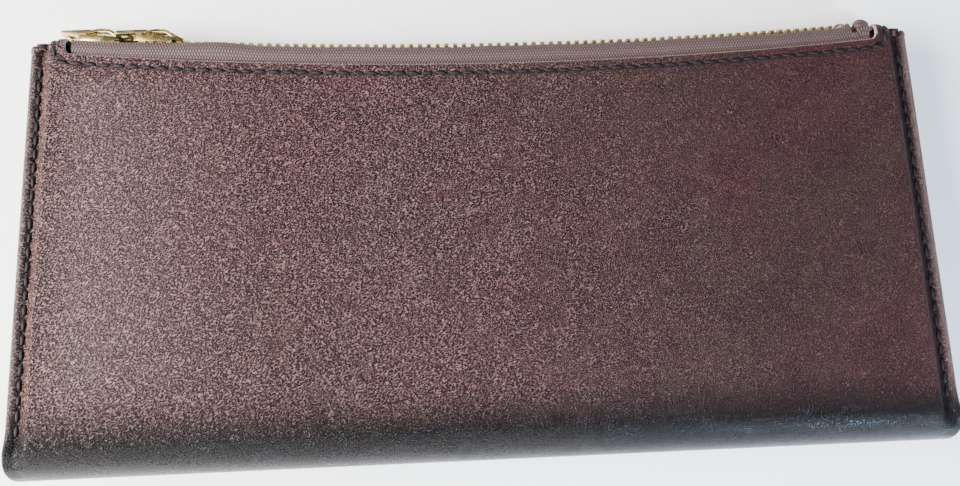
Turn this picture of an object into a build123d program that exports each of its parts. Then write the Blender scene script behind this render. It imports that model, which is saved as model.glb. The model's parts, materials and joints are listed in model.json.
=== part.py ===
from build123d import *
import os
from math import asin, atan, cos, degrees, floor, pi, sin, sqrt, tan

# A double-zip leather clutch: two flat zip pockets joined by a soft spine, which folds open like a book.
#
# It is drawn closed and lying on its rear face. X runs along the zips, from the closed end to the open
# end. Y runs from the spine to the zipped edge. Z is up, through the thickness. The origin is on the rear
# face, half way between the side seams and half way between the spine and the front's zipped edge.
#
# Each half is drawn as the rear half lies: outer face at Z = 0, zip pocket above it, inner face on top.
# The front half is then mirrored in the plane where the two inner faces meet, and that plane is tilted,
# because the stepped card slots make the clutch thicker towards the spine. Both zips bow down between the
# side seams, along arcs of large radius.

# ---- driving dimensions, in millimetres and degrees ----
body_width = 195.0  # side seam to side seam
body_height = 93.0  # spine to the zipped edge of the front half
rear_lift = 2.8  # how much taller the rear half is
outer_leather = 1.2
inner_leather = 1.0
slot_leather = 0.45  # skived leather of the card slots
slip_leather = 0.5
lining_cloth = 0.3
pocket_gap = 4.4  # free thickness inside each zip pocket
fold_gap = 0.3  # inner face to meeting plane, at the zipped edge
spine_radius = 8.0  # outside bend where each panel turns into the spine
edge_radius = 2.0  # outside bend where a panel turns over the zipped edge

seam_width = 3.0  # flat margin outside the pockets, where the side seam runs
seam_slope = 2.5  # width over which a panel rises from the seam to its full height
seam_inset = 2.2  # side stitches, in from the edge
shell_gap = 0.3  # inside of the slope to the lining

window_length = 179.0  # opening cut in the front panel for the zip
rear_window_extra = 2.5  # how much further the rear opening reaches at its closed end
window_corner = 1.6
hem_drop = 3.9  # hem below the zipped edge, at the ends of the opening
hem_sag = 4.1  # extra drop of the hem at the middle
hem_stitch_inset = 2.2
stitch_pitch = 3.0
stitch_length = 2.3
stitch_width = 0.6
stitch_height = 0.35
first_end_stitch = 2.4  # hem's stitch row to the first stitch up each end of the opening
groove_width = 0.9
groove_depth = 0.45

chain_drop = 0.4  # middle of the zip chain below the zipped edge, at the ends of the opening
chain_sag = 3.3  # extra drop of the chain at the middle
tooth_pitch = 1.95
tooth_thickness = 0.9  # along the zip
tooth_height = 2.0  # through the chain
tooth_reach = 2.45  # from the tape side to the tip of the head
tooth_overlap = 0.7  # how far the two rows of heads pass each other
tooth_grip = 0.9  # depth of the slot that grips the tape
tooth_corner = 0.25  # cut off the corners of the legs
tooth_taper = 0.75  # length over which the head narrows
tooth_nose = 0.3  # how much narrower the tip is, above and below
tape_cloth = 0.4
tape_fit = 0.05  # tape to the sides of a tooth's slot
tape_edge_gap = 0.1  # tape's edge to the bottom of a tooth's slot
tape_tuck = 6.5  # tape hidden under the leather, below the slider's path
tape_end_gap = 1.2  # end of a tape to the end of the opening
stop_length = 1.6
bottom_stop_length = 1.9
stop_gap = 0.2  # bottom stop to the teeth and to the notch
stop_chamfer = 0.3
chain_end = 82.3  # end of the chain, measured along it from the middle
end_notch_length = 1.4  # notch in the tapes beyond the bottom stop

slider_length = 10.5
slider_plate = 0.75
slider_rail = 0.45
slider_clearance = 0.1
slider_slot = 0.8  # gap between upper and lower rails, where the tape comes out
slider_mouth_corner = (1.0, 0.5)  # length and width cut off each corner of the mouth
slider_nose_taper = 0.7  # from the middle to the nose, on each side
slider_nose_corner = (0.8, 0.7)
slider_shoulder = 0.5  # where the taper starts, past the middle
slider_notch = 0.7  # between the two channels at the mouth
slider_nose_fillet = 0.5
slider_end_gap = 0.4  # closed rear slider to the end of its opening
front_stop_inset = 13.3  # how much further in the front zip's top stops are
wedge_width = 1.1
wedge_length = 2.6
wedge_start = 0.6  # slider's mouth to the wedge
wedge_gap = 0.2
wedge_tip = 0.3  # flat left at each end of the wedge
bridge_width = 1.6
bridge_length = 9.0
bridge_height = 2.3
bridge_bar = 0.8  # thickness of the arch
bridge_post = 0.7  # upright part of the arch's mouth end, as a share of its height
bridge_radii = (0.6, 2.5, 2.0, 0.2)  # round the outside of the arch
bridge_hollow_radii = (0.35, 1.5, 1.5)
bridge_shoulder_drop = 0.24  # hollow's mouth corner below the rest of it
pin_radius = 0.3
pin_clearance = 0.05
pin_inset = 2.2  # foot of the bridge to the lock pin

pull_length = 7.0  # pivot to tip
pull_width = 4.4
pull_thickness = 0.8
pull_arm_width = 0.9
pull_bar_radius = 0.38
pull_window = 3.4  # pivot to the far side of the opening that clears the bridge
pull_slot_wall = 1.1  # round the slot in the tab
pull_tip_radius = 0.9
pull_dip = 5.0  # how far a resting pull leans down towards the zip
bar_clearance = 0.12
pull_rest_gap = 0.5  # resting pivot to the arch's mouth end, beyond the clearance

slot_count = 3  # card slots in each column
slot_first_step = 18.5  # zipped edge to the mouth of the deepest slot
slot_step = 12.0
slot_column_gap = 2.0
slot_side_margin = 4.0
slot_bottom_gap = 1.5
slot_corner = 2.0
slip_drops = (20.0, 34.0)  # zipped edge to the mouth of each slip pocket
slip_corner = 3.0
spine_lining_thickness = 0.6
glue_line = 0.01
floor_inset = 0.5  # pocket floor, in from the middle of the spine bend

# ---- levels and lines that follow from them ----
y_spine = -body_height / 2
half_width = body_width / 2
half_thick = outer_leather + 2 * lining_cloth + pocket_gap + inner_leather
z_mid = half_thick / 2  # middle of a half: the side seam and the zip chain
window_half = window_length / 2
rim = half_width - seam_width

# The meeting plane clears the mouth of every slot and slip pocket.
step_rises = [(i + 1) * slot_leather / (slot_first_step + i * slot_step) for i in range(slot_count)]
step_rises += [(i + 1) * slip_leather / drop for i, drop in enumerate(slip_drops)]
fold_rise = max(step_rises)
fold_tilt = atan(fold_rise)
fold_z_spine = half_thick + fold_gap + body_height * fold_rise
fold_normal = (sin(fold_tilt), cos(fold_tilt))
fold_plane = Plane(origin=(0, y_spine, fold_z_spine), x_dir=(1, 0, 0), z_dir=(0, *fold_normal))

# A panel turns through this angle into the spine, and each crease opens by the same angle.
spine_turn = pi / 2 + fold_tilt
half_turn = spine_turn / 2
y_corner = y_spine - fold_z_spine * tan(fold_tilt)  # where the outer face and the spine's line cross
bend_y = y_corner + spine_radius * tan(half_turn)
# A sheet that bends about this line keeps its length as the bend opens flat.
crease_reach = spine_radius * half_turn / sin(half_turn)
crease = (bend_y - crease_reach * sin(half_turn), spine_radius - crease_reach * cos(half_turn))

chain_half = tooth_reach - tooth_overlap / 2  # middle of the chain to its edge
slider_half_height = tooth_height / 2 + slider_clearance + slider_plate
slider_half_width = chain_half + slider_clearance + slider_rail
pull_pivot_v = slider_half_height + bridge_height - bridge_bar - bar_clearance - pull_bar_radius
slider_first = slider_end_gap + slider_length / 2  # end of the opening to a closed slider's middle
seam_top = rim - seam_slope + stitch_width / 2  # where a panel's outer face starts to slope
pivot_room = bridge_bar + bar_clearance + pull_bar_radius + pull_rest_gap
pull_rest = bridge_length / 2 - pivot_room  # resting pivot to the slider's middle
inner_end = bend_y + floor_inset  # spine end of the inner panel
chain_radius = (window_half**2 + chain_sag**2) / (2 * chain_sag)
hem_radius = (window_half**2 + hem_sag**2) / (2 * hem_sag)


# ---- helpers ----
def across(face):
    """Extrudes a Y-Z section over more than the whole width."""
    return extrude(face, amount=body_width, both=True)


def along(face):
    """Extrudes an X-Z section over more than the whole height."""
    return extrude(face, amount=body_height, both=True)


def section_yz(*points):
    return Plane.YZ * make_face(Polyline(*points, close=True))


def section_xz(*points):
    """A face from X-Z points."""
    return Plane.XZ * make_face(Polyline(*points, close=True))


def block(x, y, z):
    """A box from its ends along each axis."""
    ends = [sorted(pair) for pair in (x, y, z)]
    return Pos(*[(low + high) / 2 for low, high in ends]) * Box(*[high - low for low, high in ends])


def bend_cut():
    """Plane through the middle of the rear bend, where the panel ends and the spine begins."""
    return Plane(
        origin=(0, bend_y, spine_radius), x_dir=(1, 0, 0), z_dir=(0, -cos(half_turn), sin(half_turn))
    )


def pocket_side(level, inset, thickness, ceiling):
    """X-Z section of a pocket with its sloping sides: flat margin at level, and full depth beyond."""
    if inset:
        edge = rim - inset
        low = [(edge, level + thickness), (edge - seam_slope, thickness)]
    else:
        low = [(half_width, level), (rim, level), (rim - seam_slope, 0)]
    right = [(low[0][0], ceiling)] + low
    left = [(-x, z) for x, z in reversed(right)]
    return section_xz(*right, *left)


# ---- one half: a zip pocket ----
class Half:
    """A zip pocket lying on its outer face.

    Its zipped edge is lift further out than the front's, its opening reaches extra further at the closed
    end, and its top stops are inset further in than the rear's.
    """

    def __init__(self, lift, extra, inset):
        self.y_top = body_height / 2 + lift
        self.y_chain = self.y_top - chain_drop
        self.y_hem = self.y_top - hem_drop
        self.chain_centre = self.y_chain - chain_sag + chain_radius
        self.window_ends = (-window_half - extra, window_half)
        self.stitched_ends = [x for x in self.window_ends if abs(x) + hem_stitch_inset < seam_top]
        self.slider_turn = asin((self.window_ends[0] + slider_first + inset) / chain_radius)

    def hem_y(self, x, drop=0.0):
        """Y of a line parallel to the hem, drop below it."""
        return self.y_hem - hem_sag + hem_radius - sqrt((hem_radius + drop) ** 2 - x**2)

    def on_chain(self, turn):
        """Moves a piece drawn about the middle of the chain to its place along the chain's arc."""
        centre = Pos(0, self.chain_centre, z_mid)
        return centre * Rot(0, 0, degrees(turn)) * Pos(0, -chain_radius, 0)

    # -- leather --
    def window(self):
        """The opening for the zip, between the bowed hem and two rounded lower corners."""
        high = self.y_top + edge_radius
        left, right = self.window_ends
        low_left, low_right = (left, self.hem_y(left)), (right, self.hem_y(right))
        outline = Polyline(low_left, (left, high), (right, high), low_right)
        hem = ThreePointArc(low_left, (0, self.hem_y(0)), low_right)
        face = make_face([*outline.edges(), hem])
        corners = [v for v in face.vertices() if v.Y < self.y_top]
        return extrude(fillet(corners, window_corner), amount=half_thick * 2, both=True)

    def stitch_groove(self):
        """Shallow channel under the stitches round the opening, in the face at Z = 0."""
        drop = hem_stitch_inset
        left, right = self.window_ends[0] - drop, self.window_ends[1] + drop
        low_left, low_right = (left, self.hem_y(left, drop)), (right, self.hem_y(right, drop))
        hem = ThreePointArc(low_left, (0, self.hem_y(0, drop)), low_right)
        high = self.y_top - edge_radius
        ends = []
        for end in self.stitched_ends:
            x = end + drop if end > 0 else end - drop
            ends.append(Line((x, self.hem_y(x, drop)), (x, high)))
        return extrude(trace([hem, *ends], line_width=groove_width), amount=groove_depth)

    def outer_panel(self):
        """The outer leather, from the zipped edge to the middle of its bend into the spine."""
        rise = 2 * spine_radius
        slant = rise * tan(fold_tilt)
        skin = FilletPolyline(
            (self.y_top, rise),
            (self.y_top, 0),
            (y_corner, 0),
            (y_corner + slant, rise),
            radius=[edge_radius, spine_radius],
        )
        outer = Plane.YZ * make_face([*skin.edges(), Line(skin @ 1, skin @ 0)])
        inside = y_corner + outer_leather / cos(fold_tilt) + outer_leather * tan(fold_tilt)
        back = FilletPolyline(
            (self.y_top - outer_leather, 2 * rise),
            (self.y_top - outer_leather, outer_leather),
            (inside, outer_leather),
            (inside + 2 * slant, outer_leather + 2 * rise),
            radius=[edge_radius - outer_leather / 2, spine_radius - outer_leather],
        )
        inner = Plane.YZ * make_face([*back.edges(), Line(back @ 1, back @ 0)])
        level = z_mid - outer_leather
        shell = across(outer) & along(pocket_side(level, 0, 0, rise))
        shell -= across(inner) & along(pocket_side(level, shell_gap, outer_leather, 3 * rise))
        shell = split(shell, bisect_by=Plane.XY.offset(z_mid), keep=Keep.BOTTOM)
        shell = split(shell, bisect_by=bend_cut(), keep=Keep.BOTTOM)
        return shell - self.window() - self.stitch_groove()

    def inner_panel(self):
        """The inner leather, a shallow tray that closes the pocket at the sides and the spine."""
        top = half_thick
        outer = section_yz((self.y_top, z_mid), (self.y_top, top), (inner_end, top), (inner_end, z_mid))
        hollow = section_yz(
            (self.y_top - inner_leather, -top),
            (self.y_top - inner_leather, top - inner_leather),
            (inner_end + inner_leather, top - inner_leather),
            (inner_end + inner_leather, -top),
        )
        level = z_mid - inner_leather
        flip = Plane.XY.offset(z_mid)
        shell = across(outer) & along(mirror(pocket_side(level, 0, 0, top), about=flip))
        inside = pocket_side(level, shell_gap, inner_leather, top * 2)
        shell -= across(hollow) & along(mirror(inside, about=flip))
        foot = rim - shell_gap
        floor_side = [(foot, z_mid), (foot - seam_slope, outer_leather)]
        floor_wall = along(section_xz(*floor_side, *[(-x, z) for x, z in reversed(floor_side)]))
        floor_wall &= block((-half_width, half_width), (inner_end, inner_end + inner_leather), (0, z_mid))
        return (shell - self.window()) + floor_wall

    def lining(self, level):
        """A flat lining cloth, from the pocket floor to the tape."""
        side = rim - shell_gap - seam_slope - outer_leather
        low = inner_end + inner_leather + lining_cloth
        high = self.y_chain - chain_sag - slider_half_height - tape_tuck - tape_cloth
        return block((-side, side), (low, high), (level, level + lining_cloth))

    # -- stitches --
    def window_stitches(self):
        """Threads along the hem and up both ends of the opening."""
        drop = hem_stitch_inset
        left, right = self.window_ends[0] - drop, self.window_ends[1] + drop
        if len(self.stitched_ends) < 2:
            left = self.window_ends[0] + stitch_length / 2
        count = floor((right - left) / stitch_pitch)
        thread = Box(stitch_length, stitch_width, stitch_height)
        level = groove_depth - stitch_height / 2
        threads = []
        for i in range(count):
            x = (left + right) / 2 + (i - (count - 1) / 2) * stitch_pitch
            turn = degrees(asin(x / (hem_radius + drop)))
            threads.append(Pos(x, self.hem_y(x, drop), level) * Rot(0, 0, turn) * thread)
        for end in self.stitched_ends:
            x = end + drop if end > 0 else end - drop
            low = self.hem_y(x, drop) + first_end_stitch
            room = self.y_top - edge_radius - stitch_length / 2 - low
            for i in range(1 + floor(room / stitch_pitch)):
                threads.append(Pos(x, low + i * stitch_pitch, level) * Rot(0, 0, 90) * thread)
        return Compound(children=threads)

    def side_stitches(self):
        """Threads down both side seams, on the outer face of the seam margin."""
        level = z_mid - outer_leather - stitch_height / 2
        low = bend_y + stitch_length
        count = floor((self.y_top - edge_radius - low) / stitch_pitch)
        thread = Box(stitch_width, stitch_length, stitch_height)
        threads = []
        for side in (-1, 1):
            for i in range(count):
                at = (side * (half_width - seam_inset), low + i * stitch_pitch, level)
                threads.append(Pos(at) * thread)
        return Compound(children=threads)

    # -- zip --
    def revolved(self, section, ends):
        """Sweeps a Y-Z section along the chain's arc, between two X values on it."""
        axis = Axis((0, self.chain_centre, 0), (0, 0, 1))
        low, high = [degrees(asin(x / chain_radius)) for x in ends]
        return revolve(section.rotate(axis, low), axis=axis, revolution_arc=high - low)

    def tape_section(self):
        """Section of the outer tape: tucked under the leather, round the slider, and in to the teeth."""
        half = tape_cloth / 2
        chain = self.chain_centre - chain_radius
        tuck = outer_leather + half
        out = z_mid - slider_half_width - slider_clearance - half
        bead = z_mid - chain_half + tooth_grip - tape_edge_gap
        low = chain - slider_half_height - tape_tuck
        jog = chain - slider_half_height - slider_clearance - half
        return section_yz(
            (low, tuck + half),
            (jog, tuck + half),
            (jog + half, out + half),
            (chain - half, out + half),
            (chain - half, bead),
            (chain + half, bead),
            (chain + half, out - half),
            (jog - half / 2, out - half),
            (jog - half * 2, tuck - half),
            (low, tuck - half),
        )

    def tape(self, inner):
        """One zip tape, notched beside the bottom stop, with its folded end beyond."""
        section = self.tape_section()
        if inner:
            section = mirror(section, about=Plane.XY.offset(z_mid))
        ends = (self.window_ends[0] + tape_end_gap, self.window_ends[1] - tape_end_gap)
        band = self.revolved(section, ends)
        middle = chain_end + bottom_stop_length + end_notch_length / 2
        low = tape_cloth - slider_half_height
        notch = Pos(0, half_thick / 2 + low, 0) * Box(end_notch_length, half_thick, 3 * half_thick)
        return band - self.on_chain(middle / chain_radius) * notch

    def teeth(self, inner):
        """A row of teeth from the slider's wedge to the bottom stop. The rows are half a pitch apart."""
        behind_wedge = wedge_start + wedge_length + wedge_gap + tooth_thickness / 2 - slider_length / 2
        first = self.slider_turn * chain_radius + behind_wedge
        count = floor((chain_end - first) / tooth_pitch)
        if inner:
            first += tooth_pitch / 2
        one = tooth(inner)
        rows = [self.on_chain((first + i * tooth_pitch) / chain_radius) * one for i in range(count)]
        return Compound(children=rows)

    def top_stops(self):
        """The pair of stops that the closed slider rests against, one on each tape."""
        along_chain = self.slider_turn * chain_radius + wedge_start + wedge_length / 2 - slider_length / 2
        near = wedge_width / 2 + slider_clearance
        low, high = -stop_length / 2, stop_length / 2
        stops = []
        for side in (-1, 1):
            stop = block((low, high), (-tooth_height / 2, tooth_height / 2), (side * near, side * chain_half))
            stops.append(self.on_chain(along_chain / chain_radius) * (stop - tape_slot(side)))
        return Compound(children=stops)

    def bottom_stop(self):
        """The box that ties both tapes together at the open end."""
        body = Box(bottom_stop_length - 2 * stop_gap, tooth_height, 2 * chain_half)
        body = chamfer(body.edges().filter_by(Axis.X), stop_chamfer)
        for side in (-1, 1):
            body -= tape_slot(side)
        return self.on_chain((chain_end + bottom_stop_length / 2) / chain_radius) * body

    # -- the whole half --
    def parts(self):
        """Every piece of the half, by name."""
        at = self.on_chain(self.slider_turn)
        pivot = Pos(-pull_rest, pull_pivot_v, 0)
        return {
            "panel": self.outer_panel(),
            "inner_panel": self.inner_panel(),
            "lining_outer": self.lining(outer_leather),
            "lining_inner": self.lining(half_thick - inner_leather - lining_cloth),
            "window_stitches": self.window_stitches(),
            "side_stitches": self.side_stitches(),
            "tape_outer": self.tape(False),
            "tape_inner": self.tape(True),
            "teeth_outer": self.teeth(False),
            "teeth_inner": self.teeth(True),
            "top_stops": self.top_stops(),
            "bottom_stop": self.bottom_stop(),
            "slider_body": at * slider_body(),
            "slider_bridge": at * slider_bridge(),
            "lock_pin": at * lock_pin(),
            "pull_tab": at * pivot * Rot(0, 0, pull_dip) * pull(),
        }

    def pull_pivot(self):
        """A point on the pull's pivot line."""
        return (self.on_chain(self.slider_turn) * Pos(-pull_rest, pull_pivot_v, 0)).position


# ---- zip pieces, drawn about the middle of the chain: X along it, Y out of the pocket ----
def tape_slot(side):
    """The slot in a tooth or stop that grips a tape's edge."""
    half = tape_cloth / 2 + tape_fit
    return block((-body_width, body_width), (-half, half), (side * (chain_half - tooth_grip), side * half_thick))


def tooth(inner):
    """One tooth: two legs that grip the tape's edge, and a head towards the middle of the chain."""
    half = tooth_height / 2
    foot, head = -chain_half, tooth_reach - chain_half
    corner = tooth_corner
    section = section_yz(
        (corner - half, foot),
        (half - corner, foot),
        (half, foot + corner),
        (half, head - tooth_taper),
        (half - tooth_nose, head),
        (tooth_nose - half, head),
        (-half, head - tooth_taper),
        (-half, foot + corner),
    )
    body = extrude(section, amount=tooth_thickness / 2, both=True) - tape_slot(-1)
    return mirror(body, about=Plane.XY) if inner else body


def slider_outline():
    """Plan of the slider's plates: square at the nose, cut away between the two channels at the mouth."""
    front, back = -slider_length / 2, slider_length / 2
    wide, nose = slider_half_width, slider_half_width - slider_nose_taper
    mouth_corner, nose_corner = slider_mouth_corner, slider_nose_corner
    side = [
        (front, wide - mouth_corner[1]),
        (front + mouth_corner[0], wide),
        (slider_shoulder, wide),
        (back - nose_corner[0], nose),
        (back, nose - nose_corner[1]),
    ]
    other = [(x, -z) for x, z in reversed(side)]
    face = make_face(Polyline(*side, *other, (front + slider_notch, 0), close=True))
    return fillet(face.vertices().group_by(Axis.X)[-1], slider_nose_fillet)


def slider_body():
    """Two plates held apart by the wedge, with rails along their edges and a hole for the lock pin."""
    channel = tooth_height / 2 + slider_clearance
    plates = extrude(Plane.XZ * slider_outline(), amount=slider_half_height, both=True)
    rail_in = chain_half + slider_clearance
    free = block((-slider_length, slider_length), (-channel, channel), (-rail_in, rail_in))
    slot = block(
        (-slider_length, slider_length), (-slider_slot / 2, slider_slot / 2), (-half_thick, half_thick)
    )
    front = wedge_start - slider_length / 2
    wedge = block((front, front + wedge_length), (-channel, channel), (-wedge_width / 2, wedge_width / 2))
    wedge = chamfer(wedge.edges().filter_by(Axis.Y), (wedge_width - wedge_tip) / 2)
    hole = Pos(bridge_length / 2 - pin_inset, slider_half_height, 0) * Rot(90, 0, 0)
    hole *= Cylinder(pin_radius + pin_clearance, 2 * slider_plate + slider_clearance)
    return plates - free - slot + wedge - hole


def slider_bridge():
    """The arch that carries the pull, standing on the top plate."""
    foot, low = bridge_length / 2, slider_half_height
    high = low + bridge_height
    outer = FilletPolyline(
        (-foot, low),
        (-foot, low + bridge_height * bridge_post),
        (-foot / 3, high),
        (foot / 5, high),
        (foot, low + bridge_bar / 2),
        (foot, low),
        radius=bridge_radii,
    )
    arch = make_face([*outer.edges(), Line(outer @ 1, outer @ 0)])
    inner = FilletPolyline(
        (-foot + bridge_bar, low),
        (-foot + bridge_bar, high - bridge_bar - bridge_shoulder_drop),
        (-foot / 3, high - bridge_bar),
        (foot / 5, high - bridge_bar),
        (foot - 2 * bridge_bar, low),
        radius=bridge_hollow_radii,
    )
    hollow = make_face([*inner.edges(), Line(inner @ 1, inner @ 0)])
    return extrude(arch - hollow, amount=bridge_width / 2, both=True)


def lock_pin():
    """The sprung pin that drops through the top plate between the teeth."""
    low = tooth_height / 2 + slider_clearance
    place = Pos(bridge_length / 2 - pin_inset, low + slider_plate / 2, 0) * Rot(90, 0, 0)
    return place * Cylinder(pin_radius, slider_plate)


def pull():
    """The pull, about its pivot: a bar through the bridge, two arms, and a tab with a slot."""
    half = pull_width / 2
    plate = block((-pull_length, 0), (-pull_thickness / 2, pull_thickness / 2), (-half, half))
    tip = plate.edges().filter_by(Axis.Y).group_by(Axis.X)[0]
    plate = fillet(tip, pull_tip_radius)
    arm = half - pull_arm_width
    plate -= block((-pull_window, pull_length), (-pull_length, pull_length), (-arm, arm))
    slot_half = half - pull_slot_wall
    slot = (-pull_length + pull_slot_wall, -pull_window - pull_slot_wall)
    plate -= block(slot, (-pull_length, pull_length), (-slot_half, slot_half))
    return plate + Cylinder(pull_bar_radius, pull_width)


# ---- slots and slip pockets ----
def stepped_panel(x_range, mouth, level, thickness, corner):
    """A leather panel lying on an inner face, with its mouth's corners rounded."""
    panel = block(x_range, (inner_end + slot_bottom_gap, mouth), (level, level + thickness))
    corners = [e for e in panel.edges().filter_by(Axis.Z) if e.center().Y > mouth - corner]
    return fillet(corners, corner)


def card_slots(y_top):
    """Two columns of card slots. The deepest slot lies on the inner panel, the next ones on top of it."""
    near, far = slot_column_gap / 2, rim - slot_side_margin
    slots = {}
    for column, x_range in (("left", (-far, -near)), ("right", (near, far))):
        for step in range(slot_count):
            mouth = y_top - slot_first_step - step * slot_step
            level = half_thick + step * slot_leather
            panel = stepped_panel(x_range, mouth, level, slot_leather, slot_corner)
            slots[f"card_slot_{column}_{step + 1}"] = panel
    return slots


def slip_pockets(y_top):
    """Full-width slip pockets, one on top of the other."""
    side = rim - slot_side_margin
    pockets = {}
    for i, drop in enumerate(slip_drops):
        level = half_thick + i * slip_leather
        pockets[f"slip_pocket_{i + 1}"] = stepped_panel(
            (-side, side), y_top - drop, level, slip_leather, slip_corner
        )
    return pockets


# ---- spine ----
def spine_leather():
    """The outer leather between the two creases, from the middle of one bend to the middle of the other."""
    reach = fold_z_spine * 1.5
    slant = reach * tan(fold_tilt)
    inside = y_corner + outer_leather / cos(fold_tilt) + outer_leather * tan(fold_tilt)
    skin = FilletPolyline(
        (bend_y + 1, 0), (y_corner, 0), (y_corner + slant, reach), radius=spine_radius
    )
    back = FilletPolyline(
        (bend_y + 1, outer_leather),
        (inside, outer_leather),
        (inside + slant, outer_leather + reach),
        radius=spine_radius - outer_leather,
    )
    ends = [Line(skin @ 0, back @ 0), Line(skin @ 1, back @ 1)]
    section = Plane.YZ * make_face([*skin.edges(), *back.edges(), *ends])
    sheet = extrude(section, amount=half_width, both=True)
    sheet = split(sheet, bisect_by=bend_cut(), keep=Keep.TOP)
    half = split(sheet, bisect_by=fold_plane, keep=Keep.BOTTOM)
    return half + mirror(half, about=fold_plane)


def spine_lining():
    """The strip glued inside the flat of the spine."""
    near = y_corner + (outer_leather + glue_line) / cos(fold_tilt)
    far = near + spine_lining_thickness / cos(fold_tilt)
    low, high = spine_radius, fold_z_spine * 1.5
    section = section_yz(
        (near + low * tan(fold_tilt), low),
        (near + high * tan(fold_tilt), high),
        (far + high * tan(fold_tilt), high),
        (far + low * tan(fold_tilt), low),
    )
    sheet = extrude(section, amount=half_width - seam_width, both=True)
    half = split(sheet, bisect_by=fold_plane, keep=Keep.BOTTOM)
    return half + mirror(half, about=fold_plane)


# ---- the whole clutch ----
rear = Half(rear_lift, rear_window_extra, 0.0)
front = Half(0.0, 0.0, front_stop_inset)


def clutch():
    """Every node of the clutch, by name."""
    nodes = {"rear_" + name: shape for name, shape in rear.parts().items()}
    nodes.update(card_slots(front.y_top))
    front_nodes = {"front_" + name: shape for name, shape in front.parts().items()}
    front_nodes.update(slip_pockets(front.y_top))
    for name, shape in front_nodes.items():
        nodes[name] = mirror(shape, about=fold_plane)
    nodes["spine_leather"] = spine_leather()
    nodes["spine_lining"] = spine_lining()
    return nodes


os.makedirs("parts", exist_ok=True)
for node_name, node_shape in clutch().items():
    export_step(node_shape, f"parts/{node_name}.step")
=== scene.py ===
import json
import math

import bpy
import numpy as np
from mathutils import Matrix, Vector


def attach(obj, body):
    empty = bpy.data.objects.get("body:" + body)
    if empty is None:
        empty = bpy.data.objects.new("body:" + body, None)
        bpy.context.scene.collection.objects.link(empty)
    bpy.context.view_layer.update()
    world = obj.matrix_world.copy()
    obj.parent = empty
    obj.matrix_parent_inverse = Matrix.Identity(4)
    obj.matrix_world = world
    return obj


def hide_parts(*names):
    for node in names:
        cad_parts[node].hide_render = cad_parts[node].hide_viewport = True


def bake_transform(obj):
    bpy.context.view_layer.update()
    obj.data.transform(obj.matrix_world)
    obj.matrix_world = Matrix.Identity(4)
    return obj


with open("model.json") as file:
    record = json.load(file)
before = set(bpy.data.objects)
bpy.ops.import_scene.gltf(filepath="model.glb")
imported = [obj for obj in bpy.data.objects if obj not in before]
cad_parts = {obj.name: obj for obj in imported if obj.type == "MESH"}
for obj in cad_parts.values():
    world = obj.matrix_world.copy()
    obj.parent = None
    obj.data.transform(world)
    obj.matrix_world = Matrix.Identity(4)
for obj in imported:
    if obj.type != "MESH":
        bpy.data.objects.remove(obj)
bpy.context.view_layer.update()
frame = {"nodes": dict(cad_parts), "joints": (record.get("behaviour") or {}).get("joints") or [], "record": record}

MM = 0.001

# ---- leather cover, in millimetres ----
LEATHER = 1.1  # thickness of the outer leather
EDGE_BEND = 2.0  # bend where a panel turns over the zipped edge
EDGE_WALL = 1.5  # leather standing down from that bend
SPINE_BEND = 8.0  # bend where a panel turns into the spine
HEM_DROP = 3.9  # hem below the zipped edge at the ends of the opening
HEM_SAG = 4.1  # extra drop at the middle
OPENING = 89.5  # middle of the clutch to the ends of the opening
REAR_EXTRA = 2.5  # how much further the rear opening reaches at its closed end
OPENING_CORNER = 1.1
STITCH_IN = 2.2  # edge to stitches
STITCH_PITCH = 3.0
SEAM_DROP = 1.9  # outer face to the flat of the side seam
SEAM_WIDTH = 5.4  # width over which the leather falls to the side seam
ROUND_OVER = 0.55  # radius worn onto every cut edge

# ---- zip, in millimetres ----
TAPE_CLOTH = 0.36
# Path of a tape's section: height over the middle of the chain, and depth from the outer face.
TAPE_PATH = (
    (-8.3, 1.45), (-6.0, 1.45), (-3.7, 1.42), (-2.9, 1.05), (-2.2, 0.72), (-1.3, 0.70), (-0.55, 1.02),
    (-0.12, 1.45), (0.0, 1.8), (0.0, 2.3),
)
NOTCH = (84.2, 85.6)  # between the tape and its folded end
NOTCH_DEPTH = -1.7  # its foot, over the middle of the chain
TAPE_END_GAP = 1.2  # from each end of the opening
TAPE_SAG_AT = -57
TAPE_SAG_WIDTH = 9.0
STITCH = (2.55, 0.85, 0.6)  # length, width and height
BOX_LOOPS = 36  # corners of the triangles of a thread's box
STITCH_PROUD = {"_window_stitches": 0.05, "_side_stitches": 0.25}

# ---- leather colours and grain ----
LEATHER_DARK = (0.0030, 0.0012, 0.0012)  # painted shade in the pits and stitch grooves, and darker patches of tone
LEATHER_WORN_AND_LIT = (0.46, 0.37, 0.345)  # raw edges, and painted light towards the left end
LEATHER_SPINE_SHADE = (0.004, 0.0034, 0.0038)  # painted shade round the spine
VEIN_SHARPNESS = 48.0
CELL_WANDER = 0.6  # how far the pits stray from straight rows, in pits

# ---- camera ----
CAMERA_AT = (-8.8, -15.9, 163.8)
CAMERA_TURN = (5.89, -2.46, -2.09)  # degrees about X, Y and Z
CAMERA_LENS = 26.25

# ---- light ----
WORLD = 0.13
LAMPS = (  # name, place, size, power, colour
    ("window", (-0.46, -0.06, 0.32), (0.4, 0.3), 18.0, (1.0, 0.98, 0.96)),
    ("softbox", (-0.15, -0.14, 0.46), (0.18, 0.12), 2.6, (1.0, 0.97, 0.95)),
    ("sky", (0.27, -0.30, 0.24), (0.09, 0.05), 4.0, (0.45, 0.70, 1.0)),
)


# ---------------------------------------------------------------- the frame's own lines
def joint(name):
    return next(j for j in frame["joints"] if j["name"] == name)


def vertices(obj):
    co = np.empty(len(obj.data.vertices) * 3, np.float32)
    obj.data.vertices.foreach_get("co", co)
    return co.reshape(-1, 3).astype(float)


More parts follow.
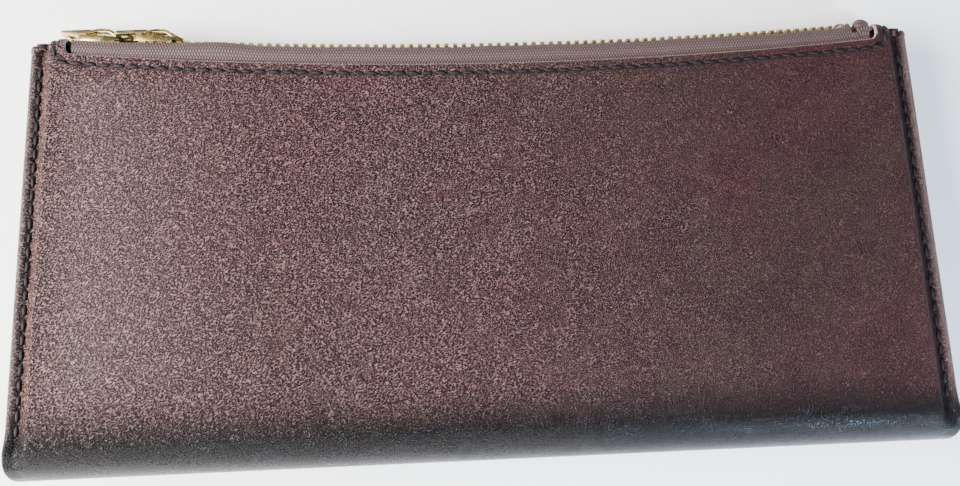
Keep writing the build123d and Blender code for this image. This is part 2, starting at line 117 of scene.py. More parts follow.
rear_crease = np.array(joint("rear_crease")["pos_m"])
front_crease = np.array(joint("front_crease")["pos_m"])
FOLD_NORMAL = (front_crease - rear_crease) / np.linalg.norm(front_crease - rear_crease)
FOLD_POINT = (rear_crease + front_crease) / 2
TILT = math.atan2(FOLD_NORMAL[1], FOLD_NORMAL[2])
SPINE_TURN = math.pi / 2 + TILT


def mirror(points):
    """Carries points between the rear half and the front half, in metres."""
    away = (points - FOLD_POINT) @ FOLD_NORMAL
    return points - 2 * away[:, None] * FOLD_NORMAL


class Half:
    """One zip pocket, drawn as the rear one lies, in millimetres."""

    def __init__(self, name):
        self.name = name
        self.front = name == "front"
        self.body = name + "_half"
        panel = self.points(frame["nodes"][name + "_panel"])
        self.top = panel[:, 1].max()
        self.side = panel[:, 0].max()
        self.seam = panel[:, 2].max()  # level of the side seam and of the zip
        self.left = -OPENING if self.front else -OPENING - REAR_EXTRA
        self.right = OPENING
        centre = self.carry(np.array([joint(name + "_slider_run")["pos_m"]]))[0] / MM
        self.chain_centre = centre[1]
        self.level = centre[2]
        teeth = self.points(frame["nodes"][name + "_teeth_outer"])
        low = teeth[np.abs(teeth[:, 0]) < 5]
        self.chain_radius = centre[1] - (low[:, 1].min() + low[:, 1].max()) / 2
        self.hem_radius = (OPENING**2 + HEM_SAG**2) / (2 * HEM_SAG)
        self.bend_y = rear_crease[1] / MM + SPINE_BEND * (SPINE_TURN / 2)

    def carry(self, points):
        return mirror(points) if self.front else points

    def points(self, obj):
        """A node's vertices in this half's own place, in millimetres."""
        return self.carry(vertices(obj)) / MM

    def hem(self, x):
        """Y of the hem."""
        radius = self.hem_radius
        return self.top - HEM_DROP - HEM_SAG + radius - np.sqrt(radius**2 - x**2)

    def chain(self, x):
        """Y of the middle of the zip chain."""
        return self.chain_centre - np.sqrt(self.chain_radius**2 - x**2)


# ---------------------------------------------------------------- materials
class Value:
    """A socket whose arithmetic adds Math nodes."""

    def __init__(self, paint, socket):
        self.paint, self.socket = paint, socket

    def math(self, operation, *others, swap=False):
        inputs = [self, *others]
        if swap:
            inputs.reverse()
        return self.paint.node("ShaderNodeMath", {"operation": operation}, dict(enumerate(inputs)))

    def __add__(self, other):
        return self.math("ADD", other)

    def __radd__(self, other):
        return self.math("ADD", other)

    def __sub__(self, other):
        return self.math("SUBTRACT", other)

    def __rsub__(self, other):
        return self.math("SUBTRACT", other, swap=True)

    def __mul__(self, other):
        return self.math("MULTIPLY", other)

    def __rmul__(self, other):
        return self.math("MULTIPLY", other)

    def __truediv__(self, other):
        return self.math("DIVIDE", other)

    def clamp(self, low, high):
        """0 at low and below, 1 at high and above, smooth between."""
        settings = {"interpolation_type": "SMOOTHSTEP"}
        return self.paint.node("ShaderNodeMapRange", settings, {"Value": self, 1: low, 2: high})


class Paint:
    """A procedural material built round one Principled shader."""

    def __init__(self, name):
        self.material = bpy.data.materials.new(name)
        self.material.use_nodes = True
        self.tree = self.material.node_tree
        self.shader = next(n for n in self.tree.nodes if n.type == "BSDF_PRINCIPLED")

    def node(self, kind, settings=None, inputs=None, out=0):
        made = self.tree.nodes.new(kind)
        for name, value in (settings or {}).items():
            setattr(made, name, value)
        for key, value in (inputs or {}).items():
            self.feed(made.inputs[key], value)
        return Value(self, made.outputs[out])

    def feed(self, socket, value):
        if isinstance(value, Value):
            self.tree.links.new(value.socket, socket)
        elif isinstance(value, tuple) and len(value) == 3 and socket.type == "RGBA":
            socket.default_value = (*value, 1)
        else:
            socket.default_value = value

    def mix(self, factor, first, second):
        """A colour between two colours."""
        inputs = {"Factor": factor, 6: first, 7: second}
        return self.node("ShaderNodeMix", {"data_type": "RGBA"}, inputs, out=2)

    def noise(self, where, scale, detail=3.0, roughness=0.55, distortion=0.0):
        inputs = {"Vector": where, "Scale": scale, "Detail": detail}
        inputs.update({"Roughness": roughness, "Distortion": distortion})
        return self.node("ShaderNodeTexNoise", {}, inputs)

    def place(self, source="object", size=(1, 1, 1), turn=0.0):
        """Coordinates in which one unit is this many millimetres, along directions turned by an angle."""
        if source == "object":
            where = self.node("ShaderNodeTexCoord", out=3)
        else:
            where = self.node("ShaderNodeUVMap", {"uv_map": source})
        inputs = {"Vector": where, "Rotation": (0, 0, turn), "Scale": tuple(s * MM for s in size)}
        return self.node("ShaderNodeMapping", {"vector_type": "TEXTURE"}, inputs)

    def veins(self, source, size, turn):
        """Thin branching lines, 1 on a line and 0 between, drawn out one way."""
        swing = self.noise(self.place(source, size, math.radians(turn)), 1.0, 3.0, 0.55, 0.7)
        return (1 - (swing - 0.5).math("ABSOLUTE") * VEIN_SHARPNESS).math("MAXIMUM", 0.0)

    def cells(self, source, size, turn, wander):
        """Small drawn-out pits, 0 in each pit and 1 on the ridge between pits."""
        inputs = {0: wander, 1: (CELL_WANDER,) * 3, 2: self.place(source, size, math.radians(turn))}
        bent = self.node("ShaderNodeVectorMath", {"operation": "MULTIPLY_ADD"}, inputs)
        pits = self.node("ShaderNodeTexVoronoi", {"feature": "F1"}, {"Vector": bent})
        return pits.clamp(0.20, 0.72)

    def held(self, name):
        """A value that the mesh's points carry."""
        return self.node("ShaderNodeAttribute", {"attribute_name": name}, out=2)

    def bump(self, height, distance, strength):
        """A relief this many millimetres deep."""
        inputs = {"Height": height, "Distance": distance * MM, "Strength": strength}
        return self.node("ShaderNodeBump", {}, inputs)

    def set(self, **values):
        for name, value in values.items():
            self.feed(self.shader.inputs[name.replace("_", " ")], value)


def leather_paint(name, dark, body, rose, crest_light_and_rub, source, shine=0.42, edge=True):
    """Full-grain leather: fine drawn creases with painted highlights on their crests and painted shade in their
    pits, pores, patches of tone and rubbed edges, with painted shade round the spine and in the stitch grooves and
    painted light towards the left end.
    """
    paint = Paint(name)
    where = paint.place(source)
    wander = paint.node("ShaderNodeTexNoise", {}, {"Vector": where, "Scale": 0.3, "Detail": 2.0}, out=1)
    drawn = paint.cells(source, (2.3, 0.80, 1.3), -32, wander)
    plain = paint.cells(source, (1.15, 0.85, 1.0), 12, wander)
    soft = paint.noise(where, 0.09, 3.0)
    fields = paint.noise(where, 0.022, 2.0, 0.5, 0.6)
    pores = paint.noise(where, 2.3, 3.0, 0.6)
    creased = paint.held("creased") if edge else 0.4
    local = (paint.noise(where, 0.13, 2.0) + 0.45 * creased - 0.14).clamp(0.42, 0.56)
    long = paint.veins(source, (5.0, 1.6, 4.0), -30)
    wide = paint.veins(source, (3.4, 1.5, 4.0), 12)
    net = drawn * local + plain * (1 - local)
    lines = net * (0.85 + 0.5 * pores) + long * (0.10 + 0.25 * creased) + wide * 0.12
    lines = lines.math("MINIMUM", 1.3)

    tone = (fields * 0.6 + soft * 0.4).clamp(0.38, 0.60)
    colour = paint.mix(tone, body, rose)
    colour = paint.mix((soft * 0.7 + pores * 0.3).clamp(0.42, 0.62) * 0.45, colour, dark)
    # painted shade in the pits of the grain
    colour = paint.mix((1 - lines).clamp(0.20, 0.80) * (0.35 + 0.55 * creased), colour, dark)
    # painted highlight on the crests of the grain, with some rub-off
    colour = paint.mix(lines.clamp(0.55, 1.15) * (0.22 + 0.62 * creased), colour, crest_light_and_rub)
    height = lines * (0.7 + 0.3 * creased) + paint.noise(where, 4.5, 3.0, 0.6) * 0.15
    if edge:
        scuff = paint.noise(paint.place(source, (5.0, 1.6, 3.0), 0.7), 1.0, 4.0, 0.7).clamp(0.66, 0.74)
        colour = paint.mix(scuff * 0.35, colour, crest_light_and_rub)
        # pale worn edges, and painted light towards the left end
        colour = paint.mix(paint.held("worn") * (0.55 + 0.4 * pores), colour, LEATHER_WORN_AND_LIT)
        # painted shade in the stitch grooves
        colour = paint.mix(paint.held("pressed") * 0.8, colour, tuple(0.3 * c for c in dark))
        # painted shade round the spine; the same mask also smooths and glosses the burnished grain
        burnished = paint.held("burnished")
        colour = paint.mix(burnished * 0.97, colour, LEATHER_SPINE_SHADE)
        height = height * (1 - 0.55 * burnished)
    normal = paint.bump(height, 0.38, 1.0)
    rough = shine + 0.10 - 0.12 * lines + 0.10 * pores - 0.04 * tone
    if edge:
        rough = rough - 0.22 * burnished
    paint.set(Base_Color=colour, Roughness=rough, Normal=normal, Specular_IOR_Level=0.16)
    return paint.material


def cloth_paint(name, dark, light, source, pitch, sheen=0.35):
    """Woven cloth: crossing yarns with painted highlights on their crowns and painted shade in the gaps."""
    paint = Paint(name)
    where = paint.place(source)
    wobble = paint.noise(where, 0.8, 3.0) * 0.35
    across = paint.node("ShaderNodeSeparateXYZ", {}, {0: where}) / pitch
    along = paint.node("ShaderNodeSeparateXYZ", {}, {0: where}, out=1) / (0.9 * pitch)
    row = (along + wobble).math("FLOOR")
    yarn = ((across + row * 0.5 + wobble) * 2 * math.pi).math("SINE")
    rib = ((along + wobble) * 2 * math.pi - math.pi / 2).math("SINE")
    ribs = (yarn * 0.33 + rib * 0.17 + 0.5).clamp(0.1, 0.85)
    fuzz = paint.noise(where, 6.0, 4.0, 0.7)
    tone = (ribs * 0.75 + fuzz * 0.35 + paint.noise(where, 0.25) * 0.25).clamp(0.25, 1.05)
    # painted highlight on the yarn crowns and painted shade in the gaps, following the weave's relief
    paint.set(Base_Color=paint.mix(tone, dark, light), Roughness=0.82 - 0.12 * ribs)
    paint.set(Normal=paint.bump(ribs + fuzz * 0.3, 0.14, 0.9), Sheen_Weight=sheen, Sheen_Roughness=0.4)
    return paint.material


def thread_paint(name, dark, light):
    """Bonded thread: two twisted plies, with lint on them."""
    paint = Paint(name)
    where = paint.place("object")
    twist = paint.noise(paint.place("object", (0.9, 0.3, 0.4), 0.6), 1.0, 3.0, 0.6)
    lint = paint.noise(where, 7.0, 3.0, 0.7)
    tone = (twist * 0.7 + lint * 0.4).clamp(0.35, 0.85)
    paint.set(Base_Color=paint.mix(tone, dark, light), Roughness=0.6 + 0.2 * lint)
    paint.set(Normal=paint.bump(twist + lint * 0.4, 0.08, 0.8), Specular_IOR_Level=0.25)
    return paint.material


def brass_paint(name, bright, deep, rough, tarnish):
    """Brass: polished high spots, tarnish in patches, fine rubbing marks."""
    paint = Paint(name)
    where = paint.place("object")
    marks = paint.noise(paint.place("object", (1.6, 0.2, 0.2)), 1.0, 4.0, 0.6)
    patches = paint.noise(where, 0.45, 4.0, 0.65)
    pits = paint.noise(where, 5.0, 3.0, 0.7)
    stain = (patches * 0.75 + pits * 0.35).clamp(0.62 - tarnish * 0.4, 0.95 - tarnish * 0.3)
    paint.set(Base_Color=paint.mix(stain, bright, deep), Metallic=1 - 0.3 * stain)
    paint.set(Roughness=rough + 0.32 * stain + 0.1 * marks)
    paint.set(Normal=paint.bump(marks * 0.5 + pits * 0.5, 0.02, 0.5))
    return paint.material


def floor_paint():
    """Matt white card."""
    paint = Paint("studio_card")
    mottle = paint.noise(paint.place("object"), 0.05, 2.0)
    paint.set(Base_Color=paint.mix(mottle, (0.93, 0.93, 0.93), (0.95, 0.95, 0.95)), Roughness=0.9)
    return paint.material


FINISH = {
    "outer_leather": leather_paint(
        "outer_leather", LEATHER_DARK, (0.026, 0.0105, 0.0088), (0.038, 0.0082, 0.0115), (0.20, 0.112, 0.104),
        "surface",
    ),
    "inner_leather": leather_paint(
        "inner_leather", LEATHER_DARK, (0.095, 0.052, 0.049), (0.105, 0.05, 0.05), (0.2, 0.13, 0.12),
        "object", 0.5, edge=False,
    ),
    "lining_cloth": cloth_paint("lining_cloth", (0.085, 0.066, 0.06), (0.24, 0.195, 0.175), "object", 0.7),
    "zip_tape": cloth_paint(
        "zip_tape", (0.006, 0.0025, 0.0028), (0.085, 0.042, 0.038), "surface", 0.62, 0.08
    ),
    "thread": thread_paint("thread", (0.002, 0.0016, 0.0017), (0.011, 0.0085, 0.0085)),
    "zip_brass": brass_paint("zip_brass", (0.62, 0.43, 0.15), (0.12, 0.07, 0.025), 0.24, 0.6),
    "slider_brass": brass_paint("slider_brass", (0.68, 0.53, 0.22), (0.26, 0.17, 0.06), 0.18, 0.3),
}


def finish(obj, name):
    """Gives a piece its one finish."""
    obj.data.materials.clear()
    obj.data.materials.append(FINISH[name])


# ---------------------------------------------------------------- modelling helpers
def deselect():
    if bpy.context.object and bpy.context.object.mode != "OBJECT":
        bpy.ops.object.mode_set(mode="OBJECT")
    bpy.ops.object.select_all(action="DESELECT")


def choose(obj):
    deselect()
    obj.select_set(True)
    bpy.context.view_layer.objects.active = obj


def modify(obj, kind, **settings):
    """Adds a modifier and applies it."""
    choose(obj)
    modifier = obj.modifiers.new(kind.lower(), kind)
    for name, value in settings.items():
        setattr(modifier, name, value)
    bpy.ops.object.modifier_apply(modifier=modifier.name)


def tidy_mesh(obj, merge=1e-7):
    choose(obj)
    bpy.ops.object.mode_set(mode="EDIT")
    bpy.ops.mesh.select_all(action="SELECT")
    bpy.ops.mesh.remove_doubles(threshold=merge)
    bpy.ops.mesh.normals_make_consistent(inside=False)
    bpy.ops.object.mode_set(mode="OBJECT")


def smooth(obj, degrees):
    choose(obj)
    bpy.ops.object.shade_smooth_by_angle(angle=math.radians(degrees))


def grid(name, columns, rows):
    """A grid primitive, with each vertex's column and row."""
    deselect()
    bpy.ops.mesh.primitive_grid_add(x_subdivisions=columns, y_subdivisions=rows, size=2)
    obj = bpy.context.object
    obj.name = obj.data.name = name
    co = vertices(obj)
    column = np.rint((co[:, 0] + 1) / 2 * columns).astype(int)
    row = np.rint((1 - co[:, 1]) / 2 * rows).astype(int)
    return obj, column, row


def shape(obj, points):
    """Moves a mesh's vertices to these points, in millimetres."""
    obj.data.vertices.foreach_set("co", (points * MM).astype(np.float32).ravel())
    obj.data.update()


def surface_map(obj, u, v):
    """A surface map in real size, so that a pattern follows the piece as it bends."""
    layer = obj.data.uv_layers.new(name="surface") if not obj.data.uv_layers else obj.data.uv_layers[0]
    layer.name = "surface"
    loops = np.empty(len(obj.data.loops), np.int32)
    obj.data.loops.foreach_get("vertex_index", loops)
    uv = np.stack([u[loops], v[loops]], 1) * MM
    layer.data.foreach_set("uv", uv.astype(np.float32).ravel())


def point_value(obj, name, values):
    attribute = obj.data.attributes.new(name, "FLOAT", "POINT")
    attribute.data.foreach_set("value", values.astype(np.float32))


def delete_faces(obj, doomed):
    """Deletes the faces whose flag is set, and what they leave loose."""
    choose(obj)
    bpy.context.tool_settings.mesh_select_mode = (False, False, True)
    obj.data.polygons.foreach_set("select", doomed)
    bpy.ops.object.mode_set(mode="EDIT")
    bpy.ops.mesh.delete(type="FACE")
    bpy.ops.object.mode_set(mode="OBJECT")


def face_middles(obj, values):
    """Each face's mean of a value held by its vertices."""
    corners = np.empty(len(obj.data.loops), np.int32)
    obj.data.loops.foreach_get("vertex_index", corners)
    return values[corners.reshape(-1, 4)].mean(1)


def flip(obj):
    choose(obj)
    bpy.ops.object.mode_set(mode="EDIT")
    bpy.ops.mesh.select_all(action="SELECT")
    bpy.ops.mesh.flip_normals()
    bpy.ops.object.mode_set(mode="OBJECT")


def face_outward(obj, outward):
    """Flips a sheet if its faces look away from this direction on the whole."""
    normals = np.array([p.normal * p.area for p in obj.data.polygons])
    if normals.sum(0) @ np.array(outward) < 0:
        flip(obj)


def ease(x, low, high):
    t = np.clip((x - low) / (high - low), 0, 1)
    return t * t * (3 - 2 * t)


def band(offset, width):
    """1 along a line, falling away to each side."""
    return np.exp(-((offset / width) ** 2))


def pick(places, row):
    """The place of each row, and how many rows each one is past the last of them."""
    return places[np.clip(row, 0, len(places) - 1)], row - (len(places) - 1)


def settle(obj, half):
    """Carries a finished mesh from the rear half's place to its own half's, which turns it inside out."""
    if half.front:
        shape(obj, mirror(vertices(obj)) / MM)


def turn_right_way(obj, half):
    if half.front:
        flip(obj)


# ---------------------------------------------------------------- leather cover
def wave(x, y, seed):
    """Smooth, uneven swelling between 0 and 1, made of a few crossed ripples."""
    total = 0
    for i in range(6):
        turn = seed + 2.4 * i
        length = 17.0 + 9.0 * ((i * 7 + seed * 3) % 5)
        across = x * math.cos(turn) + y * math.sin(turn)
        total = total + np.sin(across * 2 * math.pi / length + 1.7 * turn + 0.8 * np.sin(y / 23 + turn))
    return 0.5 + total / 12


def steps(*stretches):
    """Places along a line: (to, spacing) for each stretch, from the first one's start."""
    places = [stretches[0]]
    for to, spacing in stretches[1:]:
        start = places[-1]
        count = max(1, round((to - start) / spacing))
        places += [start + (to - start) * (i + 1) / count for i in range(count)]
    return np.array(places)


class Cover:
    """A half's outer leather, from the zipped edge round to the middle of the spine."""

    def __init__(self, half):
        self.half = half
        self.flat_end = half.top - EDGE_BEND - half.bend_y
        self.bend = SPINE_BEND * SPINE_TURN
        self.lay_out()
        self.from_side = half.side - np.abs(self.x)
        self.from_hem = np.hypot(np.clip(-self.end, 0, None), np.clip(self.s - self.hem, 0, None))
        stitched = ease(self.from_side, 3.4, 4.4)
        self.hem_groove = band(self.from_hem - STITCH_IN, 0.42) * stitched
        seam = 1 - ease(self.s, self.flat_end, self.flat_end + 7)
        self.side_groove = band(self.from_side - STITCH_IN, 0.5) * seam
        self.pucker = band(self.from_hem - STITCH_IN, 1.1) * self.beat(self.x) * stitched
        self.side_pucker = band(self.from_side - STITCH_IN, 1.3) * self.beat(self.s)
        panel = 1 - ease(self.s, self.flat_end - 14, self.flat_end)
        self.calm = ease(self.from_hem, 1.5, 9) * ease(self.from_side, 3, 14) * panel

    def lay_out(self):
        """Makes the grid, and finds each vertex's X, distance s along the leather, hem and opening."""
        half, side = self.half, self.half.side
        dense = side - 10.5
        columns = steps(
            -side, (-side + 0.6, 0.15), (-side + 4.0, 0.3), (half.left - 0.9, 0.3),
            (half.left + 1.8, 0.15), (-dense, 0.5), (dense, 0.85), (half.right - 1.8, 0.5),
            (half.right + 0.9, 0.15), (side - 4.0, 0.3), (side - 0.6, 0.3), (side, 0.15),
        )
        between_creases = np.linalg.norm(front_crease - rear_crease) / MM
        spine_flat = between_creases / 2 - SPINE_BEND * (SPINE_TURN / 2)
        above = steps(0.0, (1.0, 0.06))  # zipped edge to hem, as a share
        below = steps(0.0, (0.45, 0.12), (4.2, 0.28))  # below the hem
        face = steps(0.0, (1.0, 0.0125))
        roll = steps(0.0, (self.bend + spine_flat, 0.7))
        rows = len(above) + len(below) + len(face) + len(roll) - 4

        self.obj, column, row = grid(half.name + "_cover", len(columns) - 1, rows)
        x = columns[column]
        hem = half.top - EDGE_BEND - half.hem(x)
        end = np.minimum(x - half.left, half.right - x)  # into the opening from its nearer end
        corner = np.clip(OPENING_CORNER - np.clip(end, 0, None), 0, OPENING_CORNER)
        hem = hem - (OPENING_CORNER - np.sqrt(OPENING_CORNER**2 - corner**2)) * (end > -0.01)
        hem = hem - OPENING_CORNER * (end <= -0.01) * np.exp(-np.abs(end) / 3)

        start = -EDGE_WALL - EDGE_BEND * math.pi / 2
        share, row = pick(above, row)
        top_rows = start + (hem - start) * share
        step, face_row = pick(below, row)
        hem_rows = hem + step
        face_start = hem + below[-1]
        share, roll_row = pick(face, face_row)
        face_rows = face_start + (self.flat_end - face_start) * share
        roll_rows = self.flat_end + pick(roll, roll_row)[0]
        lower = np.where(face_row < 0, hem_rows, np.where(roll_row < 0, face_rows, roll_rows))
        self.x, self.hem, self.end, self.start = x, hem, end, start
        self.s = np.where(row < 0, top_rows, lower)

    def beat(self, along):
        return 0.5 + 0.5 * np.cos(2 * math.pi * along / STITCH_PITCH)

    def sink(self):
        """How far each point sinks into the leather."""
        slope = SEAM_DROP * (1 - ease(self.from_side, 2.7, SEAM_WIDTH))
        strip = band(self.from_side - 0.9, 0.9) * 0.55
        slope = np.clip(slope - strip, 0, None) * (1 - ease(self.s, self.flat_end - 3, self.flat_end + 7))
        sink = slope + 0.36 * self.hem_groove + 0.30 * self.side_groove
        sink = sink + 0.10 * self.pucker + 0.16 * self.side_pucker
        swell = wave(self.x, self.s, 1.0 if self.half.front else 2.0)
        sink = sink + 0.42 * (1 - swell) * self.calm
        sink = sink + 0.32 * np.exp(-self.from_hem / 5) * ease(self.from_hem, 1.6, 2.6)
        to_edge = np.minimum(self.from_side, np.where(self.s > self.start + 0.2, self.from_hem, 9))
        lip = np.clip(ROUND_OVER - to_edge, 0, ROUND_OVER)
        return sink + (ROUND_OVER - np.sqrt(ROUND_OVER**2 - lip**2 + 1e-9))

    def bent(self):
        """The mesh's points: the section's bends, and the leather's own relief on them."""
        half, s = self.half, self.s
        over = np.clip(-s / EDGE_BEND, 0, math.pi / 2)
        wall = np.clip(-s - EDGE_BEND * math.pi / 2, 0, None)
        turn = np.clip((s - self.flat_end) / SPINE_BEND, 0, SPINE_TURN)
        rise = np.clip(s - self.flat_end - self.bend, 0, None)
        y = half.top - EDGE_BEND - np.clip(s, 0, self.flat_end) + EDGE_BEND * np.sin(over)
        y = y - SPINE_BEND * np.sin(turn) - rise * math.cos(SPINE_TURN)
        z = EDGE_BEND * (1 - np.cos(over)) + wall + SPINE_BEND * (1 - np.cos(turn))
        z = z + rise * math.sin(SPINE_TURN)
        sink = self.sink()
        inward_y, inward_z = np.sin(turn) - np.sin(over), np.cos(over) * np.cos(turn)
        return np.stack([self.x, y + sink * inward_y, z + sink * inward_z], 1)

    def mark(self):
        """Where the leather is worn at the edges, creased and burnished, and where it gets painted light towards
        the left end and painted shade in the stitch grooves and round the spine, for its paint.
        """
        x, from_side = self.x, self.from_side
        worn = np.exp(-((self.from_hem / 0.33) ** 4)) + 0.22 * band(from_side - 0.5, 0.8)
        # the last term is painted light, paler towards the left end
        worn = worn + 0.08 * (1 - ease(from_side, 0.5, 2.0)) + 0.10 * ease(-x, 40, 96) * self.calm
        point_value(self.obj, "worn", np.clip(worn, 0, 1))
        point_value(self.obj, "creased", 0.62 - 0.62 * ease(x, -30, 75) + 0.38 * ease(-x, 50, 92))
        # painted shade in the stitch grooves
        point_value(self.obj, "pressed", np.clip(self.hem_groove + self.side_groove, 0, 1) * 0.8)
        # painted shade round the spine, where the leather is also burnished
        point_value(self.obj, "burnished", ease(self.s, self.flat_end - 9, self.flat_end + 2))

    def build(self):
        obj, half = self.obj, self.half
        shape(obj, self.bent())
        surface_map(obj, self.x, self.s)
        self.mark()
        delete_faces(obj, (face_middles(obj, self.s - self.hem) < 0) & (face_middles(obj, self.end) > 0))
        face_outward(obj, (0, 0, -1))
        modify(obj, "SOLIDIFY", thickness=LEATHER * MM, offset=-1, use_even_offset=False)
        co = vertices(obj)
        co[:, 0] = np.clip(co[:, 0], -half.side * MM, half.side * MM)
        shape(obj, co / MM)
        settle(obj, half)
        turn_right_way(obj, half)
        smooth(obj, 60)
        finish(obj, "outer_leather")
        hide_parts(half.name + "_panel", "spine_leather")
        self.blend_line()
        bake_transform(obj)

    def blend_line(self):
        """From the start of the bend on the panel to its end on the spine, across the crease."""
        flat_y = self.half.bend_y
        foot_y = flat_y - SPINE_BEND * math.sin(SPINE_TURN)
        ends = np.array([[0, flat_y, 0.0], [0, foot_y, SPINE_BEND * (1 - math.cos(SPINE_TURN))]])
        return [Vector(point) for point in self.half.carry(ends * MM)]


halves = [Half("rear"), Half("front")]
for half in halves:
    Cover(half).build()


# ---------------------------------------------------------------- zip tapes
def rounded(points, times=3):
    """Cuts the corners off an open line."""
    for _ in range(times):
        ahead = 0.75 * points[:-1] + 0.25 * points[1:]
        behind = 0.25 * points[:-1] + 0.75 * points[1:]
        points = np.vstack([points[:1], np.stack([ahead, behind], 1).reshape(-1, 2), points[-1:]])
    return points


def drape(x, rise, depth, outer):
    """Lets a tape's section sag, curl at the notch and swell in its folded end."""
    shown = ease(rise, -3.4, -1.6)
    sag = band(x - TAPE_SAG_AT, TAPE_SAG_WIDTH)
    slack = 0.75 * sag + 0.12 * np.sin(x / 6.1) + 0.08 * np.sin(x / 2.3 + 1)
    curl = 0.9 * band(x - NOTCH[0], 1.3) * (x < NOTCH[0] + 0.2)
    folded = ease(x, NOTCH[1] - 0.2, NOTCH[1] + 0.6) * (0.9 + 0.5 * np.sin((x - NOTCH[1]) * 1.15))
    depth = depth - 0.30 * sag * shown * outer - 0.25 * folded * shown
    return rise + (slack * 0.8 * outer + curl + folded) * shown, depth


def tape(half, side):
    """One woven tape, from under the leather's hem up to the teeth. side is 1 for the outer one."""
    path = rounded(np.array(TAPE_PATH))
    left, right = half.left + TAPE_END_GAP, half.right - TAPE_END_GAP
    first, last = NOTCH
    columns = steps(left, (first, 0.6), (first + 0.1, 0.1), (last - 0.1, 0.4), (last, 0.1), (right, 0.3))
    name = half.name + ("_tape_outer" if side > 0 else "_tape_inner")
    obj, column, row = grid(name + "_cloth", len(columns) - 1, len(path) - 1)
    x = columns[column]
    rise, depth = drape(x, *path[row].T, side > 0)
    turn = x / half.chain_radius
    radius = half.chain_radius - rise
    level = half.level - side * (half.level - depth)
    shape(obj, np.stack([radius * np.sin(turn), half.chain_centre - radius * np.cos(turn), level], 1))
    along = np.concatenate([[0], np.cumsum(np.linalg.norm(np.diff(path, axis=0), axis=1))])
    surface_map(obj, x, along[row])
    middle = face_middles(obj, x)
    delete_faces(obj, (middle > first) & (middle < last) & (face_middles(obj, rise) > NOTCH_DEPTH))
    face_outward(obj, (0, 0, -side))
    modify(obj, "SOLIDIFY", thickness=TAPE_CLOTH * MM, offset=0)
    settle(obj, half)
    turn_right_way(obj, half)
    smooth(obj, 60)
    finish(obj, "zip_tape")
    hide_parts(name)
    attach(obj, half.body)


# ---------------------------------------------------------------- stitches
def stitch_mesh():
    """One thread of two twisted plies, its ends drawn down into the leather."""
    deselect()
    bpy.ops.mesh.primitive_uv_sphere_add(segments=8, ring_count=7, radius=1)
    obj = bpy.context.object
    co = vertices(obj)
    along = np.sign(co[:, 2]) * np.abs(co[:, 2]) ** 0.8
    thick = 1 + 0.22 * np.cos(2 * np.arctan2(co[:, 1], co[:, 0]) - 3.2 * along)
    x = STITCH[0] / 2 * along
    y = STITCH[1] / 2 * co[:, 0] * thick
    z = STITCH[2] / 2 * co[:, 1] * thick - 0.30 * np.abs(along) ** 2.5
    shape(obj, np.stack([x, y, z], 1))
    return obj


def stitches(half, row_name, slant):
    """A row of stitches, one at the place of each thread of the CAD row."""
    node = half.name + row_name
    pattern = stitch_mesh()
    threads = frame["nodes"][node]
    loops = np.empty(len(threads.data.loops), np.int32)
    threads.data.loops.foreach_get("vertex_index", loops)
    boxes = half.points(threads)[loops].reshape(-1, BOX_LOOPS, 3)
    copies = []
    for i, box in enumerate(boxes):
        middle = (box.max(0) + box.min(0)) / 2
        spread = box - middle
        long = np.linalg.svd(spread[:, :2], full_matrices=False)[2][0]
        angle = math.atan2(long[1], long[0]) + slant + 0.07 * math.sin(i * 2.7)
        copy = pattern.copy()
        copy.data = pattern.data.copy()
        bpy.context.scene.collection.objects.link(copy)
        co = vertices(copy) / MM * (1 + 0.06 * math.sin(i * 1.9))
        turned_x = co[:, 0] * math.cos(angle) - co[:, 1] * math.sin(angle)
        turned_y = co[:, 0] * math.sin(angle) + co[:, 1] * math.cos(angle)
        level = middle[2] - STITCH_PROUD[row_name]
        shape(copy, np.stack([middle[0] + turned_x, middle[1] + turned_y, level - co[:, 2]], 1))
        copies.append(copy)
    bpy.data.objects.remove(pattern)
    deselect()
    for copy in copies:
        copy.select_set(True)
    bpy.context.view_layer.objects.active = copies[0]
    bpy.ops.object.join()
    obj = bpy.context.object
    obj.name = obj.data.name = node + "_threads"
    settle(obj, half)
    tidy_mesh(obj)
    smooth(obj, 70)
    finish(obj, "thread")
    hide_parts(node)
    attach(obj, half.body)


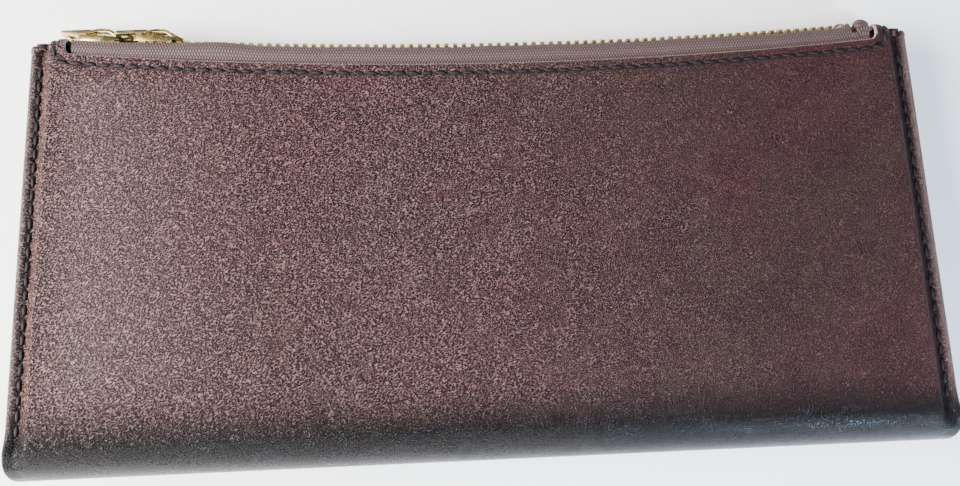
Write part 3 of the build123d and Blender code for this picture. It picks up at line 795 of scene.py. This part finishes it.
# ---------------------------------------------------------------- refined copies of CAD nodes
def refined(node, body, edge, segments=2):
    """A CAD node's shape as one welded mesh, with softened edges."""
    obj = bpy.data.objects.new(node + "_piece", frame["nodes"][node].data.copy())
    bpy.context.scene.collection.objects.link(obj)
    tidy_mesh(obj, 2e-6)
    bpy.ops.object.mode_set(mode="EDIT")
    bpy.ops.mesh.select_all(action="SELECT")
    bpy.ops.mesh.dissolve_limited(angle_limit=math.radians(0.5))
    bpy.ops.object.mode_set(mode="OBJECT")
    if edge:
        limit = math.radians(35)
        modify(obj, "BEVEL", width=edge * MM, segments=segments, limit_method="ANGLE", angle_limit=limit)
    smooth(obj, 50)
    finish(obj, SLOTS[node])
    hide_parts(node)
    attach(obj, body)
    return obj


SLOTS = {s["node"]: s["material_slot"] for s in frame["record"]["subparts"]}
for half in halves:
    for side in (1, -1):
        tape(half, side)
    stitches(half, "_window_stitches", math.radians(-5))
    stitches(half, "_side_stitches", math.radians(-9))
    for piece in ("slider_body", "slider_bridge"):
        refined(f"{half.name}_{piece}", half.name + "_slider", 0.14, 3)
    refined(half.name + "_pull_tab", half.name + "_pull", 0.16, 3)
    refined(half.name + "_bottom_stop", half.body, 0.2)
    refined(half.name + "_inner_panel", half.body, 0.25)
    for piece in ("lining_outer", "lining_inner"):
        cloth = refined(f"{half.name}_{piece}", half.body, 0)

# ---------------------------------------------------------------- CAD nodes that stay, refinished
for node_name, node in frame["nodes"].items():
    if not node.hide_render:
        finish(node, SLOTS[node_name])


# ---------------------------------------------------------------- stage
def stage():
    deselect()
    bpy.ops.mesh.primitive_plane_add(size=3.0, location=(0, 0, -0.0002))
    floor = bpy.context.object
    floor.name = "floor"
    floor.data.materials.append(floor_paint())
    world = bpy.data.worlds.new("studio")
    bpy.context.scene.world = world
    world.use_nodes = True
    background = next(n for n in world.node_tree.nodes if n.type == "BACKGROUND")
    background.inputs["Color"].default_value = (1, 1, 1, 1)
    background.inputs["Strength"].default_value = WORLD
    for name, at, size, power, colour in LAMPS:
        light = bpy.data.lights.new(name, "AREA")
        light.shape = "RECTANGLE"
        light.size, light.size_y = size
        light.energy = power
        light.color = colour
        lamp = bpy.data.objects.new(name, light)
        bpy.context.scene.collection.objects.link(lamp)
        lamp.location = at
        lamp.rotation_euler = (-Vector(at)).to_track_quat("-Z", "Y").to_euler()


def camera():
    data = bpy.data.cameras.new("camera")
    data.lens = CAMERA_LENS
    data.clip_start, data.clip_end = 0.01, 10
    eye = bpy.data.objects.new("camera", data)
    bpy.context.scene.collection.objects.link(eye)
    eye.location = [c * MM for c in CAMERA_AT]
    eye.rotation_euler = [math.radians(a) for a in CAMERA_TURN]
    bpy.context.scene.camera = eye


stage()
camera()
